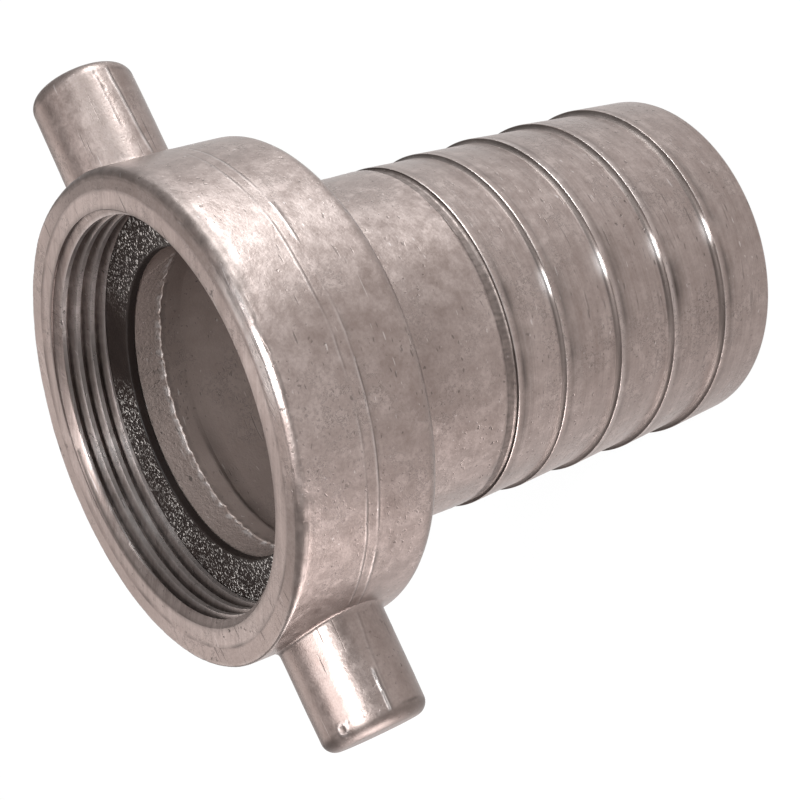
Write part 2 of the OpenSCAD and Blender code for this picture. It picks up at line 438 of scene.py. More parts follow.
def shape_tail():
    """The tail's points and masks."""
    grid = tail_grid()
    r, z, groove, cut = shape_neck(grid, grid.r, grid.z)
    r, z, torn = shape_rib(grid, r, z)
    turned = (grid.outside & (grid.height < LAST_CREST + 0.3)) + 0.0 * z
    turned = np.where(groove, cut * 1.0, turned)
    soot, bright = crest_marks(grid)
    # The groove at the neck painted dark: painted shade
    soot = np.where(cut, 0.62 + 0.35 * field(grid.points * [3, 3, 1], 1, 4), soot)
    bore_shade, bore_bright = bore_marks(grid, z, torn)
    masks = {"turned": turned,
             "soot": np.clip(soot + bore_shade, 0, 1),
             "bright": np.clip(bright + bore_bright, 0, 1),
             "torn": torn * 1.0,
             "inside": grid.inside + 0 * z}
    return cylinder_points(grid.angle, r, z), masks


# Cap

# Zones of the cap's section: the cut face, the cast ring round it, the rounded shoulder,
# the wall and all that follows
FACE, RIM, SHOULDER, WALL, REST = range(5)


def thread_phases():
    """Places of the thread's rows within one pitch, with the depth of each, from 0 to 1."""
    root, crest = 0.06, 0.14
    marks = [0, root, 0.14, 0.26, 0.5 - crest, 0.40, 0.5, 0.60, 0.5 + crest, 0.74, 0.86, 1 - root]
    flank = 0.5 - crest - root
    depth = [np.clip((0.5 - crest - min(m, 1 - m)) / flank, 0, 1) for m in marks]
    return np.array(marks), np.array(depth)


def thread_grid(angle):
    """Radius and height of the inside thread: rows that climb with it, cut at both ends."""
    marks, depth = thread_phases()
    first = math.floor((THREAD_END - THREAD_PHASE) / THREAD_PITCH) - 1
    last = math.ceil((MOUTH - THREAD_PHASE) / THREAD_PITCH) + 1
    turn = np.arange(first, last)[:, None]
    start = (THREAD_PHASE + (turn + marks[None]) * THREAD_PITCH).ravel()
    form = THREAD_R + THREAD_DEPTH * np.tile(depth, len(turn))
    z = start[None] + THREAD_PITCH * angle / TAU
    r = np.repeat(form[None], len(angle), 0)
    z_cut = np.clip(z, THREAD_END, MOUTH)
    cut = z_cut != z
    rise = (z_cut[:, :-1] - z[:, :-1]) / (z[:, 1:] - z[:, :-1])
    fade = r[:, :-1] + np.clip(rise, 0, 1) * (r[:, 1:] - r[:, :-1])
    r = np.where(cut, np.concatenate([fade, r[:, -1:]], 1), r)
    low = z < THREAD_END
    high = z > MOUTH
    for row in range(len(angle)):
        below = np.flatnonzero(low[row])
        above = np.flatnonzero(high[row])
        r[row, below] = r[row, below[-1]]
        edge = above[0]
        share = (MOUTH - z[row, edge - 1]) / (z[row, edge] - z[row, edge - 1])
        r[row, above] = form[edge - 1] + share * (form[edge] - form[edge - 1])
    cone = THREAD_R + z_cut - (MOUTH - MOUTH_BEVEL)
    return np.maximum(r, cone), z_cut


def cap_outline(front_round, slope):
    """The cap's section from the mouth's edge out, back to the rear and in to the thread's end.

    Also returns each point's zone. All sections have the same number of points.
    """
    def wall(z):
        return CAP_R - abs(z - PARTING) * math.tan(CAP_DRAFT)

    face = line((FACE_IN_R, MOUTH), (SPOT_FACE_R, MOUTH), 0.35)
    top = MOUTH - 0.03 - slope
    rim = evenly((SPOT_FACE_R + 0.08, MOUTH - 0.03), (wall(MOUTH) - front_round, top), 8)
    shoulder = arc((wall(MOUTH) - front_round, top - front_round), front_round, 90, 0, 9)
    low = top - front_round
    high_seam, low_seam = PARTING + SEAM_GAP / 2, PARTING - SEAM_GAP / 2
    side = evenly((wall(low), low), (wall(high_seam), high_seam + SEAM_MARGIN), 16)
    out = line((CAP_R, high_seam + SEAM_MARGIN), (CAP_R, low_seam - SEAM_MARGIN), 0.13)
    out += line((CAP_R, low_seam - SEAM_MARGIN), (wall(REAR), REAR + REAR_ROUND), 0.6)
    out += arc((wall(REAR) - REAR_ROUND, REAR + REAR_ROUND), REAR_ROUND, 0, -90, 9)
    out += line((wall(REAR) - REAR_ROUND, REAR), (LIP_HOLE_R + LIP_BEVEL, REAR), 0.7)
    out += line((LIP_HOLE_R + LIP_BEVEL, REAR), (LIP_HOLE_R, REAR + LIP_BEVEL), 0.4)
    out += line((LIP_HOLE_R, REAR + LIP_BEVEL), (LIP_HOLE_R, LIP_TOP), 1.5)
    out += line((LIP_HOLE_R, LIP_TOP), (UNDERCUT_R, LIP_TOP), 1.5)
    out += line((UNDERCUT_R, LIP_TOP), (UNDERCUT_R, THREAD_END), 1.5)
    out += [(UNDERCUT_R, THREAD_END)]
    front = np.repeat([FACE, RIM, SHOULDER, WALL], [len(face), len(rim), len(shoulder), len(side)])
    rear = np.where(np.array(out)[:, 1] > REAR + 1e-6, WALL, REST)
    rear[int(np.argmax(rear == REST)):] = REST
    return np.array(face + rim + shoulder + side + out), np.concatenate([front, rear])


def ring_grid(turn):
    """The cap ring's plain grid, its zones and how far each angle belongs to the worn side."""
    near_edge, zone = cap_outline(NEAR_ROUND, NEAR_SLOPE)
    far_edge = cap_outline(FAR_ROUND, 0.0)[0]
    worn_side = step(np.cos(turn - math.radians(NEAR_SIDE)), -0.1, 0.5)
    far_side = 1 - worn_side
    r = worn_side * near_edge[None, :, 0] + far_side * far_edge[None, :, 0]
    z = worn_side * near_edge[None, :, 1] + far_side * far_edge[None, :, 1]
    return SimpleNamespace(turn=turn, az=near(turn, 0), r=r, z=z, points=cylinder_points(turn, r, z),
                           height=near_edge[:, 1], zone=zone, worn_side=worn_side, far_side=far_side,
                           rim=(zone == RIM) | (zone == SHOULDER),
                           wall=(zone >= RIM) & (zone <= WALL))


def cast_ring(grid, r, z):
    """The cast skin of the ring, which is a little wider and higher on the far side."""
    waves = 0.05 * field(grid.points, 14, 11) + 0.015 * field(grid.points, 5, 18)
    waves = waves + 0.007 * field(grid.points, 1.4, 12)
    wider = (grid.zone == SHOULDER) | (grid.zone == WALL)
    wider = wider * grid.far_side * 0.12 * step(z, REAR + 4, MOUTH)
    low_left = 0.5 + 0.5 * np.cos(grid.turn - math.radians(RIM_LIFT_AT))
    higher = grid.far_side * (0.06 + 0.16 * low_left)
    higher = grid.rim * (0.03 * field(grid.points, 3, 13, 2) + higher)
    return r + grid.wall * waves + wider, z + higher


def wear_edge(grid, r, z):
    """The rim's rounded edge, roughened and chipped."""
    edge = (grid.zone == SHOULDER) | ((grid.zone == WALL) & (grid.height > MOUTH - 2.8))
    rough = 0.09 * np.abs(field(grid.points, 1.1, 14, 2))
    for place, depth in CHIPS:
        rough = rough + depth * bell(near(grid.turn, place), CHIP_WIDE)
    rough = rough * (0.35 + step(np.abs(near(grid.turn, SMOOTH_EDGE_AT)), 0, 60) * 0.65)
    r = r - edge * rough * 0.5
    return r, z - edge * rough * 0.5 * step(z, MOUTH - 1.6, MOUTH - 0.2)


def parting_lines(grid, z):
    """How much of a parting line each point carries, and how much of the groove below one."""
    flat = grid.points * [1, 1, 0]
    drift = 0.16 * field(flat, 7, 15) + 0.05 * field(flat, 1.5, 25)
    seam = np.zeros_like(z)
    groove = np.zeros_like(z)
    for place, weight in ((PARTING + SEAM_GAP / 2, 0.7), (PARTING - SEAM_GAP / 2, 1)):
        strength = patchy(field(flat, 6, place, 2), 0.55, 1.1) * weight
        offset = z - place - drift
        seam = np.maximum(seam, grid.wall * strength * bell(offset, 0.14))
        groove = np.maximum(groove, grid.wall * strength * bell(offset + 0.26, 0.13))
    return seam, groove


def ring_shade(grid, r, z, seam_groove):
    """Painted shade beside the parting lines, at the cut face's step, on and under the rim and at the
    rear.
    """
    shoulder = grid.zone == SHOULDER
    edge_noise = patchy(field(grid.points, 1.6, 24, 2), 0.55, 0.6)
    # Dark lines painted at the cut face's step and in the grooves beside the parting lines: painted
    # shade
    step_line = bell(r - SPOT_FACE_R - 0.1, 0.16) * (grid.zone <= RIM)
    soot = 0.75 * seam_groove + 0.6 * step_line * patchy(field(grid.points, 3, 16), 0.6)
    # The rim and shoulder painted dark on the sides where they would catch the lamps: painted shade
    dull = grid.worn_side * (step(grid.az, -92, -78) + 1 - step(grid.az, -135, -118))
    low_side = 1 - step(grid.az, -135, -118)
    edge_shade = 0.32 + (0.42 * edge_noise + 0.15 * low_side) * shoulder
    soot = np.maximum(soot, grid.rim * dull * edge_shade)
    # The rear painted dark, under the cap: painted shade
    at_rear = (grid.zone == REST) * 0.5 * step(grid.height, REAR + 1.0, REAR + 0.1)
    soot = np.maximum(soot, at_rear)
    # A ragged dark line along the worn side's shoulder
    ragged = (np.abs(z - MOUTH + 1.15 + 0.3 * field(grid.points, 2, 26)) < 0.2) & shoulder
    soot = np.maximum(soot, ragged * grid.worn_side * edge_noise * 0.75)
    # The wall just under the rim painted darker, keeping the highlight off it: painted shade
    under_rim = (grid.zone == WALL) * step(z, MOUTH - 3.4, MOUTH - 1.6) * step(grid.az, -92, -80)
    return np.maximum(soot, under_rim * grid.worn_side * (0.3 + 0.3 * edge_noise))


def ring_bright(grid, z, seam):
    """Painted highlights on the near edge of the rim and along the parting lines, and lighter patches
    on the far shoulder.
    """
    # The stretch of the rim's edge painted with a highlight: a painted highlight
    highlight_side = step(grid.az, -113, -103) * (1 - step(grid.az, -84, -75))
    edge = grid.rim * step(z, MOUTH - 0.95, MOUTH - 0.65) * (1 - step(z, MOUTH - 0.16, MOUTH - 0.05))
    bright = edge * highlight_side * (0.6 + 0.5 * field(grid.points, 1.5, 17))
    # Parting lines painted light along their ridges: painted highlight
    bright = bright + 0.35 * seam * (grid.zone == WALL)
    far_patches = patchy(field(grid.points, 2.5, 17), 0.5, 0.8)
    bright = bright + (grid.zone == SHOULDER) * grid.far_side * 0.3 * far_patches
    return np.clip(bright, 0, 1)


def thread_marks(turn, r, z):
    """Painted shade in the thread's roots and round the mouth's bevel, and painted highlights on the
    crests.
    """
    az = near(turn, 0)
    depth = (r - THREAD_R) / THREAD_DEPTH
    in_thread = (z < MOUTH - MOUTH_BEVEL - 0.1) & (z > THREAD_END + 0.02)
    gritty = patchy(field(cylinder_points(turn, r, z), 1.1, 44), 0.8, 0.9, 0.4, 1.4)
    # Roots painted dark: painted shade
    soot = in_thread * (0.16 + 0.40 * step(depth, 0.4, 0.95)) * gritty
    # A dark line painted round the mouth's bevel: painted shade
    mouth_line = (z > MOUTH - 0.4) * bell(r - THREAD_R - MOUTH_BEVEL - 0.05, 0.34)
    mouth_line = mouth_line * (0.35 + 0.65 * bell(az - MOUTH_SHADE_AT, MOUTH_SHADE_WIDE))
    # Crests painted light, and a glint painted round one place: painted highlights
    crests = in_thread * bell(depth - 0.04, 0.05) * 0.8
    glint = 0.8 * in_thread * bell(az - THREAD_GLINT_AT, THREAD_GLINT_WIDE) * (depth < 0.7)
    return np.maximum(soot, 0.95 * mouth_line), np.maximum(crests, glint)


def shape_cap_ring():
    """The cap ring's points and masks; the thread's columns come before the section's."""
    angle = np.linspace(0, TAU, TURNS + 1)[:, None]
    turn = np.where(angle > TAU - 1e-9, 0, angle)
    grid = ring_grid(turn)
    r, z = cast_ring(grid, grid.r, grid.z)
    r, z = wear_edge(grid, r, z)
    seam, groove = parting_lines(grid, z)
    r = r + SEAM_HEIGHT * seam - SEAM_GROOVE * groove
    thread_r, thread_z = thread_grid(angle)
    thread_shade, thread_bright = thread_marks(turn, thread_r, thread_z)
    cut_face = np.broadcast_to((grid.zone == FACE) * 0.8, z.shape)
    pad = np.zeros_like(thread_z)
    masks = {"turned": np.concatenate([pad + 1, cut_face], 1),
             "soot": np.concatenate([thread_shade, ring_shade(grid, r, z, groove)], 1),
             "bright": np.concatenate([thread_bright, ring_bright(grid, z, seam)], 1),
             "torn": np.concatenate([pad, 0 * z], 1)}
    ring_r = np.concatenate([thread_r, r], 1)
    ring_z = np.concatenate([thread_z, z], 1)
    return cylinder_points(turn, ring_r, ring_z), masks


# Lugs

def lug_grid(around, reach, fillets):
    """Points of a plain lug along +X, from inside the ring's wall to the middle of its end.

    The first column is sunk in the wall, and the next seven make the fillet.
    """
    cos, sin = np.cos(around), np.sin(around)
    columns = []
    for k in range(-1, 7):
        flare, sunk = (ROOT_FLARE, LUG_SUNK) if k < 0 else (0, 0)
        t = math.radians(max(k, 0) * 15)
        rho = LUG_R + fillets * (1 - math.sin(t)) + flare
        y = rho * cos
        x = np.sqrt((CAP_R - 0.05) ** 2 - y ** 2) + fillets * (1 - math.cos(t)) - sunk
        columns.append((x, y, rho * sin))
    start_x = columns[-1][0]
    body_end = reach - LUG_ROUND
    for share in np.linspace(0.03, 1, 40):
        x = start_x + (body_end - start_x) * share
        rho = LUG_R - (x - LUG_ROOT) * math.tan(LUG_DRAFT)
        columns.append((x, rho * cos, rho * sin))
    end_r = LUG_R - (body_end - LUG_ROOT) * math.tan(LUG_DRAFT)
    for t in np.radians(np.arange(9, 91, 9)):
        rho = end_r - LUG_ROUND * (1 - math.cos(t))
        x = body_end + LUG_ROUND * math.sin(t) + 0 * cos
        columns.append((x, rho * cos, rho * sin))
    for share in np.linspace(0.9, 0.0, 10):
        rho = (end_r - LUG_ROUND) * max(share, 0.002)
        columns.append((body_end + LUG_ROUND + 0 * cos, rho * cos, rho * sin))
    return np.concatenate([np.stack([x, y, z], -1) for x, y, z in columns], 1)


def lug_seams(points, side, reach, seams):
    """The flash lines: each point's share of the groove beside one, painted dark as shade, and of its
    ridge, painted light as a highlight.

    Each seam has its height at the lug's end and at its root, a depth, a brightness
    and how far along the lug it starts, from 0 at the root to 1 at the end.
    """
    share = (points[..., 0] - LUG_ROOT) / (reach - LUG_ROOT)
    facing = side * points[..., 1] < 0
    groove = np.zeros(points.shape[:2])
    ridge = np.zeros(points.shape[:2])
    for end_z, root_z, depth, brightness, start in seams:
        run = points * [1, 0, 0]
        drift = 0.15 * field(run, 3, end_z) + 0.04 * field(run, 0.8, end_z)
        offset = points[..., 2] - root_z - (end_z - root_z) * share - drift
        there = facing * step(share, start, start + 0.06)
        groove = np.maximum(groove, there * depth * bell(offset + 0.32, 0.17))
        ridge = np.maximum(ridge, there * brightness * bell(offset, 0.22))
    return groove, ridge


def lug_pits(around, along, pits, relief, dark, glow):
    """Adds pits to a lug's relief and masks: painted shade in the hollows and painted highlights on the
    raised lips.

    Each pit has its distance from the axis, its angle round the lug, a radius and how much
    of a raised lip it has, from 0 to 1.
    """
    for pit_x, pit_turn, size, lip in pits:
        away = np.hypot(along - pit_x, LUG_R * np.radians(near(around, pit_turn)))
        hollow = bell(away, 0.5 * size)
        raised = lip * bell(away - size, 0.35 * size)
        relief = relief + 0.12 * raised - 0.12 * hollow
        dark = np.maximum(dark, hollow)
        glow = np.maximum(glow, 0.5 * raised)
    return relief, dark, glow


def shape_lug(side, reach, fillet, seams, pits):
    """Points and masks of one lug; side is 1 for +X and -1 for -X."""
    around = full_turn(LUG_TURNS)
    points = lug_grid(around, reach, fillet(around))
    body_end = reach - LUG_ROUND
    along = points[..., 0]
    bumps = 0.04 * field(points, 6, 21 + side) + 0.01 * field(points, 1.5, 23 + side)
    on_body = (along > LUG_ROOT + 0.8) & (along < body_end + 0.1)
    groove, ridge = lug_seams(points, side, reach, seams)
    dark, glow = groove * on_body, ridge * on_body
    relief = bumps * (along > LUG_ROOT + 0.5) + 0.15 * glow - 0.08 * dark
    relief, dark, glow = lug_pits(around, along, pits, relief, dark, glow)
    out = np.stack([0 * around, np.cos(around), np.sin(around)], -1)
    points = points + out * relief[..., None]
    points[..., 0] *= side
    points[..., 1] *= side
    points[..., 2] += PARTING
    # The end's rim, a line at the end and the lower lug's end face painted dark: painted shade
    rim = bell(along - (reach - 0.6), 0.8)
    end_line = bell(along - body_end - 0.1, 0.3) * patchy(field(points, 2, 45), 0.5)
    end_face = 0.5 * step(along, body_end - 0.2, body_end + 0.6) * (side < 0)
    soot = np.maximum(np.maximum(0.8 * dark, 0.38 * rim), np.maximum(end_line * 0.7, end_face))
    # A band of the upper lug painted darker: painted shade
    shaded_band = bell(near(around, SHADED_BAND_AT), SHADED_BAND_WIDE) * on_body * (side > 0)
    soot = np.maximum(soot, 0.40 * shaded_band)
    pad = np.zeros(points.shape[:2])
    # The seams' ridges and the pits' lips carry the painted highlights
    return points, {"turned": pad, "soot": soot, "bright": 0.95 * glow, "torn": pad}


def upper_fillet(around):
    """Radius of the small fillet at the upper lug's root, the same all round."""
    return UPPER_FILLET + 0 * around


def lower_fillet(around):
    """Radius of the fillet at the lower lug's root, larger on one side."""
    return LOWER_FILLET + LOWER_FILLET_MORE * bell(near(around, FILLET_AT), FILLET_WIDE)


# Washer

def shape_washer():
    """Points of the sealing ring, with edges a little rounded and an uneven top."""
    low, high = WASHER_LOW.z + 0.01, WASHER_TOP
    inner, outer = 0.25, 0.3
    out = line((WASHER_BORE_R, low + 0.2), (WASHER_BORE_R, high - inner), 0.4)
    out += arc((WASHER_BORE_R + inner, high - inner), inner, 180, 90, 22.5)
    out += line((WASHER_BORE_R + inner, high), (WASHER_R - outer, high), 0.3)
    out += arc((WASHER_R - outer, high - outer), outer, 90, 0, 30)
    out += line((WASHER_R, high - outer), (WASHER_R, low), 0.7)
    out += line((WASHER_R, low), (WASHER_BORE_R + 0.1, low), 2)
    outline = np.array(out)
    across, height = outline[None, :, 0], outline[None, :, 1]
    angle = full_turn(TURNS)
    plain = cylinder_points(angle, across, height)
    r = across + 0.04 * field(plain, 3, 31) * (across < 23)
    z = height + 0.05 * (field(plain, 2.5, 32, 2) - 0.6) * (height > high - 0.1)
    # Painted glints go on the gritty face, except where the washer lies in shade
    out_of_shade = step(np.abs(near(angle, SHADED_WASHER_AT)), 10, 24)
    grit = out_of_shade * patchy(field(plain, 9, 33), 0.75, 0.8, 0.25)
    return cylinder_points(angle, r, z), {"grit": grit * (across > WASHER_BORE_R + 0.2)}


# Materials

def node(tree, kind, inputs=None, **settings):
    """A node with its settings and its inputs, each a number, a colour or another node's output."""
    made = tree.nodes.new(kind)
    for key, value in settings.items():
        setattr(made, key, value)
    for key, value in (inputs or {}).items():
        if isinstance(value, bpy.types.NodeSocket):
            tree.links.new(value, made.inputs[key])
        else:
            made.inputs[key].default_value = value
    return made


def maths(tree, operation, first, second=0.0):
    """One calculation with two numbers, each a value or another node's output."""
    return node(tree, "ShaderNodeMath", {0: first, 1: second}, operation=operation).outputs[0]


def times(tree, first, second):
    """The product of two numbers."""
    return maths(tree, "MULTIPLY", first, second)


def noisy(tree, vector, scale, detail, roughness=0.5):
    """Noise from 0 to 1, with about so many lumps a unit as the scale says."""
    inputs = {"Vector": vector, "Scale": scale, "Detail": detail, "Roughness": roughness}
    return node(tree, "ShaderNodeTexNoise", inputs).outputs["Fac"]


def spread(tree, value, low, high, to_low=0.0, to_high=1.0):
    """The value mapped from low..high to to_low..to_high and held within it."""
    inputs = {"Value": value, "From Min": low, "From Max": high, "To Min": to_low, "To Max": to_high}
    return node(tree, "ShaderNodeMapRange", inputs).outputs[0]


def blend(tree, factor, first, second):
    """The first colour at a factor of 0 and the second at 1."""
    made = node(tree, "ShaderNodeMix", {0: factor, 6: first, 7: second}, data_type="RGBA")
    return made.outputs[2]


def stretched(tree, vector, scale, turn=(0, 0, 0)):
    """Coordinates with a scale for each direction, turned by the given angles in radians."""
    inputs = {"Vector": vector, "Scale": scale, "Rotation": turn}
    return node(tree, "ShaderNodeMapping", inputs, vector_type="POINT").outputs[0]


def mask(tree, name):
    """One of the numbers that the mesh carries at each point."""
    return node(tree, "ShaderNodeAttribute", attribute_name=name).outputs["Fac"]


def colour(red, green, blue):
    """An opaque colour."""
    return (red, green, blue, 1)


LIGHT = colour(0.325, 0.260, 0.238)
MIDDLE = colour(0.264, 0.204, 0.184)
DARK = colour(0.155, 0.113, 0.099)
TORN = colour(0.235, 0.176, 0.155)
BORE = colour(0.200, 0.146, 0.126)
# Dark metal for grime, pits and scratches, and for the painted shade in notches, roots, grooves and
# along edges
GRIME_AND_SHADE = colour(0.040, 0.030, 0.026)
# Light metal for scratches worn bright and for painted highlights
RUBBED_AND_HIGHLIGHT = colour(0.600, 0.540, 0.520)
BLACK_LOW = colour(0.006, 0.0035, 0.003)
BLACK_HIGH = colour(0.016, 0.010, 0.008)
GRIT_GLINT = colour(0.62, 0.55, 0.51)

# Noises of the metal: lumps per mm, detail and roughness
CLOUD = (0.045, 3.0, 0.6)
MOTTLE = (0.42, 5.0, 0.66)
GRAIN = (2.2, 2.0, 0.6)
STAIN = (0.10, 6.0, 0.72)
CRAZE = (0.42, 6.0, 0.78)
CRAZE_PATCHES = (0.09, 2.0, 0.6)
PIT = (1.05, 2.0, 0.7)
PIT_PATCHES = (0.07, 1.0)

# Noises that run round the axis: lumps per mm across and along it, detail and roughness
RINGS = (0.02, 3.2, 2.0, 0.7)
BANDS = (0.035, 0.75, 3.0, 0.6)
DASHES = (0.16, 1.5, 2.0, 0.6)


def scratches(tree, vector, turn, scale, low):
    """Thin straight marks in one direction: 1 on a mark and 0 beside it."""
    lines = noisy(tree, stretched(tree, vector, scale, turn), 1.0, 0.0)
    return spread(tree, lines, low, low + 0.05)


def round_space(tree, mm):
    """Coordinates in which rings round the axis lie flat, on walls and on end faces alike."""
    parts = node(tree, "ShaderNodeSeparateXYZ", {0: mm}).outputs
    squares = maths(tree, "ADD", times(tree, parts[0], parts[0]), times(tree, parts[1], parts[1]))
    radius = maths(tree, "SQRT", squares)
    made = node(tree, "ShaderNodeCombineXYZ",
                {0: parts[0], 1: parts[1], 2: maths(tree, "ADD", parts[2], radius)})
    return made.outputs[0]


def ring_noise(tree, rounds, across, along, detail, roughness):
    """Noise that is drawn out round the axis."""
    return noisy(tree, stretched(tree, rounds, (across, across, along)), 1.0, detail, roughness)


def millimetres(tree, place):
    """Coordinates in millimetres from coordinates in metres."""
    inputs = {0: place, "Scale": 1000.0}
    return node(tree, "ShaderNodeVectorMath", inputs, operation="SCALE").outputs[0]


def new_material(name):
    """A material with its node tree and its shader."""
    material = bpy.data.materials.new(name)
    material.use_nodes = True
    return material, material.node_tree, material.node_tree.nodes["Principled BSDF"]


def metal_patterns(tree, seed):
    """The masks and noises that the metal's colour, grime and painted shade, roughness and height
    share.
    """
    place = node(tree, "ShaderNodeTexCoord").outputs["Object"]
    shifted = node(tree, "ShaderNodeVectorMath", {0: place, 1: (seed, seed, seed)}, operation="ADD")
    mm = millimetres(tree, shifted.outputs[0])
    rounds = round_space(tree, mm)
    pit_zone = spread(tree, noisy(tree, mm, *PIT_PATCHES), 0.45, 0.68)
    return SimpleNamespace(
        mm=mm,
        rounds=rounds,
        turned=mask(tree, "turned"),
        soot=mask(tree, "soot"),
        bright=mask(tree, "bright"),
        torn=mask(tree, "torn"),
        mottle=noisy(tree, mm, *MOTTLE),
        grain=noisy(tree, mm, *GRAIN),
        rings=ring_noise(tree, rounds, *RINGS),
        pits=times(tree, spread(tree, noisy(tree, mm, *PIT), 0.64, 0.70), pit_zone),
        marks=scratches(tree, mm, (0.3, 0.5, 0.9), (0.13, 2.6, 2.6), 0.765),
        cross=scratches(tree, mm, (1.1, 0.2, 2.2), (0.12, 2.4, 2.4), 0.80))


def metal_tone(tree, skin, ring_strength, bore):
    """The clean metal's colour: clouds and stains, rings where it is turned, dull where torn."""
    cloud = noisy(tree, skin.mm, *CLOUD)
    shade = maths(tree, "ADD", times(tree, cloud, 0.5), times(tree, skin.mottle, 0.5))
    tone = blend(tree, spread(tree, shade, 0.36, 0.62), DARK, LIGHT)
    tone = blend(tree, 0.38, tone, MIDDLE)
    stain = noisy(tree, skin.mm, *STAIN)
    tone = blend(tree, spread(tree, stain, 0.49, 0.68, 0.0, 0.40), tone, DARK)
    tone = blend(tree, spread(tree, skin.grain, 0.42, 0.64, 0.0, 0.30), tone, DARK)
    tone = blend(tree, bore, tone, BORE)
    bands = ring_noise(tree, skin.rounds, *BANDS)
    banding = maths(tree, "ADD", times(tree, skin.rings, 0.4), times(tree, bands, 0.6))
    ring_tone = blend(tree, spread(tree, banding, 0.38, 0.60), DARK, LIGHT)
    tone = blend(tree, times(tree, skin.turned, ring_strength), tone, ring_tone)
    ragged = times(tree, skin.torn, spread(tree, skin.grain, 0.35, 0.7, 0.1, 0.9))
    return blend(tree, ragged, tone, TORN)


def metal_dirt_and_shade(tree, skin):
    """How dark the metal is: pits, scratches, dashes on turned places, fine crazing and the painted
    shade of its mask.
    """
    dash_zone = times(tree, skin.turned, spread(tree, skin.mottle, 0.42, 0.6))
    dashes = spread(tree, ring_noise(tree, skin.rounds, *DASHES), 0.60, 0.68)
    dashes = times(tree, dashes, dash_zone)
    off_middle = maths(tree, "SUBTRACT", noisy(tree, skin.mm, *CRAZE), 0.5)
    craze = spread(tree, maths(tree, "ABSOLUTE", off_middle), 0.004, 0.016, 1.0, 0.0)
    craze = times(tree, craze, spread(tree, noisy(tree, skin.mm, *CRAZE_PATCHES), 0.47, 0.60))
    dirt_and_shade = times(tree, skin.pits, 0.75)
    for kind, weight in ((skin.soot, 0.9), (skin.marks, 0.5), (dashes, 0.36), (craze, 0.6)):
        dirt_and_shade = maths(tree, "MAXIMUM", dirt_and_shade, times(tree, kind, weight))
    return dirt_and_shade


def metal_roughness(tree, skin, dirt_and_shade, rough):
    """Roughness: uneven, higher on grime, painted shade and torn metal, lower where highlights are
    painted.
    """
    dull = spread(tree, skin.mottle, 0.3, 0.7, rough - 0.06, rough + 0.08)
    dull = maths(tree, "ADD", dull, times(tree, dirt_and_shade, 0.2))
    dull = maths(tree, "SUBTRACT", dull, times(tree, skin.bright, 0.15))
    return maths(tree, "ADD", dull, times(tree, skin.torn, 0.12))


def metal_height(tree, skin):
    """Height of the fine relief: rings, the cast skin, pits, scratches and torn grain."""
    height = times(tree, times(tree, skin.rings, skin.turned), 0.35)
    cast = maths(tree, "SUBTRACT", 1.0, times(tree, skin.turned, 0.7))
    height = maths(tree, "ADD", height, times(tree, times(tree, skin.grain, cast), 0.35))
    height = maths(tree, "ADD", height, times(tree, times(tree, skin.mottle, cast), 0.3))
    height = maths(tree, "SUBTRACT", height, times(tree, skin.pits, 0.45))
    height = maths(tree, "SUBTRACT", height, times(tree, skin.marks, 0.25))
    return maths(tree, "ADD", height, times(tree, times(tree, skin.torn, skin.grain), 1.5))


def add_streak(tree, shader, streak):
    """Draws the highlight out across the turning marks."""
    shader.inputs["Anisotropic"].default_value = streak
    shader.inputs["Anisotropic Rotation"].default_value = 0.25
    tangent = node(tree, "ShaderNodeTangent", direction_type="RADIAL", axis="Z")
    tree.links.new(tangent.outputs[0], shader.inputs["Tangent"])


def add_relief(tree, shader, height, strength, distance):
    """Bends the surface's normal by a height; distance is its depth in metres."""
    inputs = {"Height": height, "Strength": strength, "Distance": distance}
    tree.links.new(node(tree, "ShaderNodeBump", inputs).outputs[0], shader.inputs["Normal"])


def metal(name, seed, ring_strength, rough, streak=0.0, metallic=0.88, bore=0.0):
    """Cast aluminium with turned places, pits, scratches, grime, painted shade and painted highlights.
    """
    material, tree, shader = new_material(name)
    skin = metal_patterns(tree, seed)
    dirt_and_shade = metal_dirt_and_shade(tree, skin)
    tone = metal_tone(tree, skin, ring_strength, bore)
    # Painted highlights and scratches lighten the colour
    tone = blend(tree, times(tree, skin.bright, 0.75), tone, RUBBED_AND_HIGHLIGHT)
    tone = blend(tree, times(tree, skin.cross, 0.3), tone, RUBBED_AND_HIGHLIGHT)
    # Grime and painted shade darken the colour towards the dark metal
    tree.links.new(blend(tree, dirt_and_shade, tone, GRIME_AND_SHADE), shader.inputs["Base Color"])
    tree.links.new(metal_roughness(tree, skin, dirt_and_shade, rough), shader.inputs["Roughness"])
    shader.inputs["Metallic"].default_value = metallic
    if streak:
        add_streak(tree, shader, streak)
    add_relief(tree, shader, metal_height(tree, skin), 0.6, 0.00012)
    return material


def rubber():
    """Black rubber with a gritty face, with glints painted into its colour."""
    material, tree, shader = new_material("rubber_gritty")
    mm = millimetres(tree, node(tree, "ShaderNodeTexCoord").outputs["Object"])
    grit = mask(tree, "grit")
    cloud = noisy(tree, mm, 0.25, 3.0)
    fine = noisy(tree, stretched(tree, mm, (1.0, 1.5, 1.0), (0, 0, 0.6)), 2.5, 2.0, 0.7)
    # Light specks in the colour on the gritty face: painted glints
    glints = times(tree, spread(tree, fine, 0.58, 0.66), grit)
    base = blend(tree, cloud, BLACK_LOW, BLACK_HIGH)
    tree.links.new(blend(tree, glints, base, GRIT_GLINT), shader.inputs["Base Color"])
    tree.links.new(spread(tree, fine, 0.3, 0.7, 0.62, 0.42), shader.inputs["Roughness"])
    shader.inputs["Specular IOR Level"].default_value = 0.2
    height = times(tree, fine, maths(tree, "ADD", times(tree, grit, 0.8), 0.2))
    add_relief(tree, shader, height, 0.8, 0.0002)
    return material


# Camera and stage

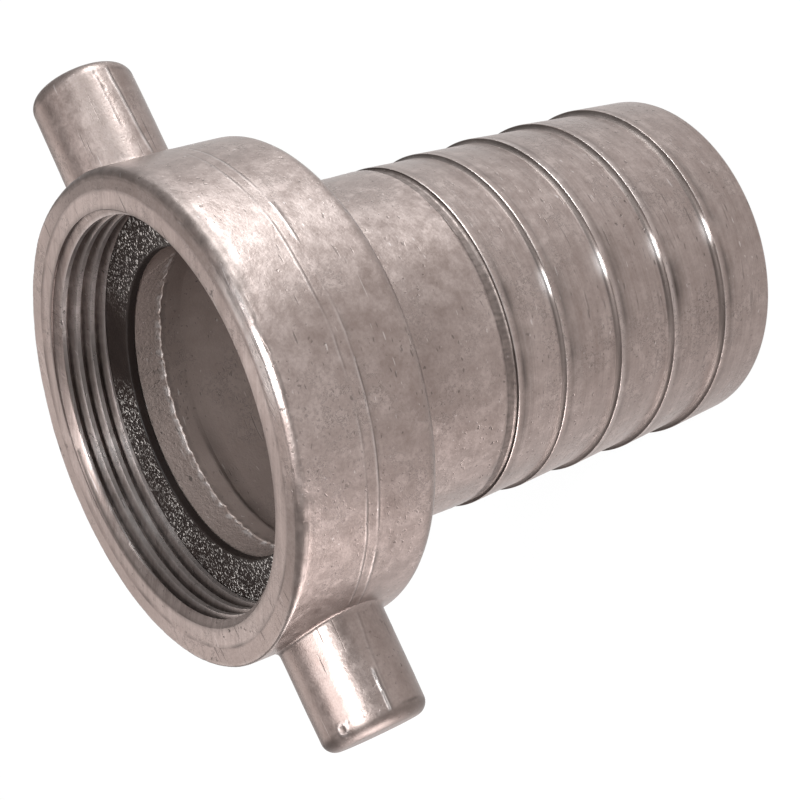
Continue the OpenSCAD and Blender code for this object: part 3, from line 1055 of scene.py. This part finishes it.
CAMERA_AT = (-59.95, -236.77, 204.37)
LOOK_AT = (-7.80, 1.71, 53.43)
CAMERA_ROLL = math.radians(109.14)
LENS = 89.16
SENSOR = 36
LAMPS_FACE = (0, 0, 50)
FLOOR_HALF = 3
FLOOR_GREY = 0.85
FLOOR_GLOW = 0.93
WORLD_LEVEL = 0.31

# Lamps: name, azimuth in degrees, distance from the axis and height in mm, width and height
# of the lamp in mm, power in watts and tint
LAMPS = [
    ("key", -34, 320, 15, (180, 26), 1.1, (0.84, 0.95, 1.0)),
    ("low", -54, 420, 20, (200, 36), 1.2, (0.86, 0.96, 1.0)),
    ("fill", -50, 530, 300, (300, 220), 1.6, (0.84, 0.95, 1.0)),
    ("side", 174, 590, 135, (400, 260), 4.4, (0.97, 0.98, 1.0)),
    ("side_low", 174, 360, 18, (300, 32), 0.6, (0.97, 0.98, 1.0)),
    ("back", 76, 573, 450, (500, 400), 1.1, (1.0, 0.96, 0.94)),
    ("top", -100, 97, 743, (400, 300), 2.5, (0.97, 0.98, 1.0)),
    ("front", -99, 450, 586, (130, 130), 6.0, (0.90, 0.97, 1.0)),
]


def add_camera():
    """The camera that was fitted to the photograph."""
    data = bpy.data.cameras.new("camera")
    data.lens = LENS
    data.sensor_width = SENSOR
    data.clip_start, data.clip_end = 0.01, 10
    camera = bpy.data.objects.new("camera", data)
    bpy.context.scene.collection.objects.link(camera)
    place = Vector(CAMERA_AT) * MM
    look = Vector(LOOK_AT) * MM - place
    level = look.to_track_quat("-Z", "Y").to_matrix().to_4x4()
    camera.matrix_world = Matrix.Translation(place) @ level @ Matrix.Rotation(-CAMERA_ROLL, 4, "Z")
    bpy.context.scene.camera = camera


def add_lamp(name, azimuth, away, height, size, power, tint):
    """A soft lamp that faces the middle of the object."""
    data = bpy.data.lights.new(name, "AREA")
    data.shape = "RECTANGLE"
    data.size, data.size_y = size[0] * MM, size[1] * MM
    data.energy = power
    data.color = tint
    lamp = bpy.data.objects.new(name, data)
    bpy.context.scene.collection.objects.link(lamp)
    az = math.radians(azimuth)
    lamp.location = Vector((away * math.cos(az), away * math.sin(az), height)) * MM
    middle = Vector(LAMPS_FACE) * MM
    lamp.rotation_euler = (middle - lamp.location).to_track_quat("-Z", "Y").to_euler()


def seen_directly(tree):
    """1 for rays from the camera, mirrors and glass, 0 for soft light."""
    path = node(tree, "ShaderNodeLightPath")
    seen = maths(tree, "MAXIMUM", path.outputs["Is Camera Ray"], path.outputs["Is Glossy Ray"])
    return maths(tree, "MAXIMUM", seen, path.outputs["Is Transmission Ray"])


def add_floor():
    """A pale floor that reads white and keeps a soft shadow."""
    corners = [(x * FLOOR_HALF, y * FLOOR_HALF, 0) for x, y in ((-1, -1), (1, -1), (1, 1), (-1, 1))]
    mesh = bpy.data.meshes.new("floor")
    mesh.from_pydata(corners, [], [(0, 1, 2, 3)])
    floor = bpy.data.objects.new("floor", mesh)
    bpy.context.scene.collection.objects.link(floor)
    material = bpy.data.materials.new("floor_white")
    material.use_nodes = True
    tree = material.node_tree
    tree.nodes.clear()
    grey = colour(FLOOR_GREY, FLOOR_GREY, FLOOR_GREY)
    diffuse = node(tree, "ShaderNodeBsdfDiffuse", {"Color": grey})
    glow = node(tree, "ShaderNodeEmission", {"Color": colour(1, 1, 1), "Strength": 1.0})
    share = times(tree, seen_directly(tree), FLOOR_GLOW)
    both = node(tree, "ShaderNodeMixShader", {0: share, 1: diffuse.outputs[0], 2: glow.outputs[0]})
    node(tree, "ShaderNodeOutputMaterial", {"Surface": both.outputs[0]})
    mesh.materials.append(material)


def add_world(level):
    """Even white light from all round."""
    world = bpy.data.worlds.new("studio")
    bpy.context.scene.world = world
    world.use_nodes = True
    background = world.node_tree.nodes["Background"]
    background.inputs["Color"].default_value = colour(1, 1, 1)
    background.inputs["Strength"].default_value = level


# The pieces

def dress(piece, material, body):
    """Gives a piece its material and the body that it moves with."""
    piece.data.materials.append(material)
    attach(piece, body)


def finish_faces(piece, mask_name, material):
    """Gives the faces that one of the masks marks a second material."""
    mesh = piece.data
    mesh.materials.append(material)
    marked = np.zeros(len(mesh.vertices), np.float32)
    mesh.attributes[mask_name].data.foreach_get("value", marked)
    corners = np.zeros(len(mesh.loops), np.int32)
    mesh.loops.foreach_get("vertex_index", corners)
    starts = np.zeros(len(mesh.polygons), np.int32)
    mesh.polygons.foreach_get("loop_start", starts)
    mesh.polygons.foreach_set("material_index", (marked[corners[starts]] > 0.5).astype(np.int32))


UPPER_SEAMS = [(-0.9, -2.1, 0.8, 0.45, 0.0), (1.1, 0.6, 0.35, 0.1, 0.3)]
LOWER_SEAMS = [(0.95, 0.8, 0.9, 1.0, 0.5), (0.9, -0.4, 0.3, 0.1, 0.0)]
UPPER_PITS = [(48.4, 173, 0.4, 0.2), (45.9, 176, 0.45, 0.1),
              (37.8, 149, 0.3, 0.0), (35.3, 162, 0.3, 0.0)]
LOWER_PITS = [(48.0, 60, 0.7, 0.8), (47.4, 51, 0.35, 0.4)]

add_camera()

tail_metal = metal("turned_aluminium", seed=0.0, ring_strength=0.22, rough=0.38)
bore_metal = metal("dull_aluminium", seed=0.83, ring_strength=0.2, rough=0.50, metallic=0.40, bore=0.75)
cap_metal = metal("cast_aluminium", seed=0.31, ring_strength=0.35, rough=0.38)
cut_metal = metal("machined_aluminium", seed=0.57, ring_strength=0.4, rough=0.36,
                  streak=0.82, metallic=0.80)

tail_points, tail_masks = shape_tail()
tail = grid_mesh("tail_casting", tail_points, tail_masks)
dress(tail, tail_metal, "tail_body")
finish_faces(tail, "inside", bore_metal)
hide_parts("tail")

ring_points, ring_masks = shape_cap_ring()
ring = grid_mesh("cap_ring", ring_points, ring_masks, close_u=False, weld=True)
dress(ring, cap_metal, "cap_body")
finish_faces(ring, "turned", cut_metal)

upper_points, upper_masks = shape_lug(1, LUG_END, upper_fillet, UPPER_SEAMS, UPPER_PITS)
upper = grid_mesh("lug_upper", upper_points, upper_masks, close_v=False)
dress(upper, cap_metal, "cap_body")

lower_reach = LUG_END - LOWER_SHORTER
lower_points, lower_masks = shape_lug(-1, lower_reach, lower_fillet, LOWER_SEAMS, LOWER_PITS)
lower = grid_mesh("lug_lower", lower_points, lower_masks, close_v=False)
dress(lower, cap_metal, "cap_body")
for piece in (ring, upper, lower):
    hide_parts("cap")

washer_points, washer_masks = shape_washer()
washer = grid_mesh("sealing_ring", washer_points, washer_masks)
dress(washer, rubber(), "tail_body")
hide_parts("washer")

add_floor()
add_world(WORLD_LEVEL)
for lamp in LAMPS:
    add_lamp(*lamp)
bpy.context.scene.view_settings.view_transform = "Standard"
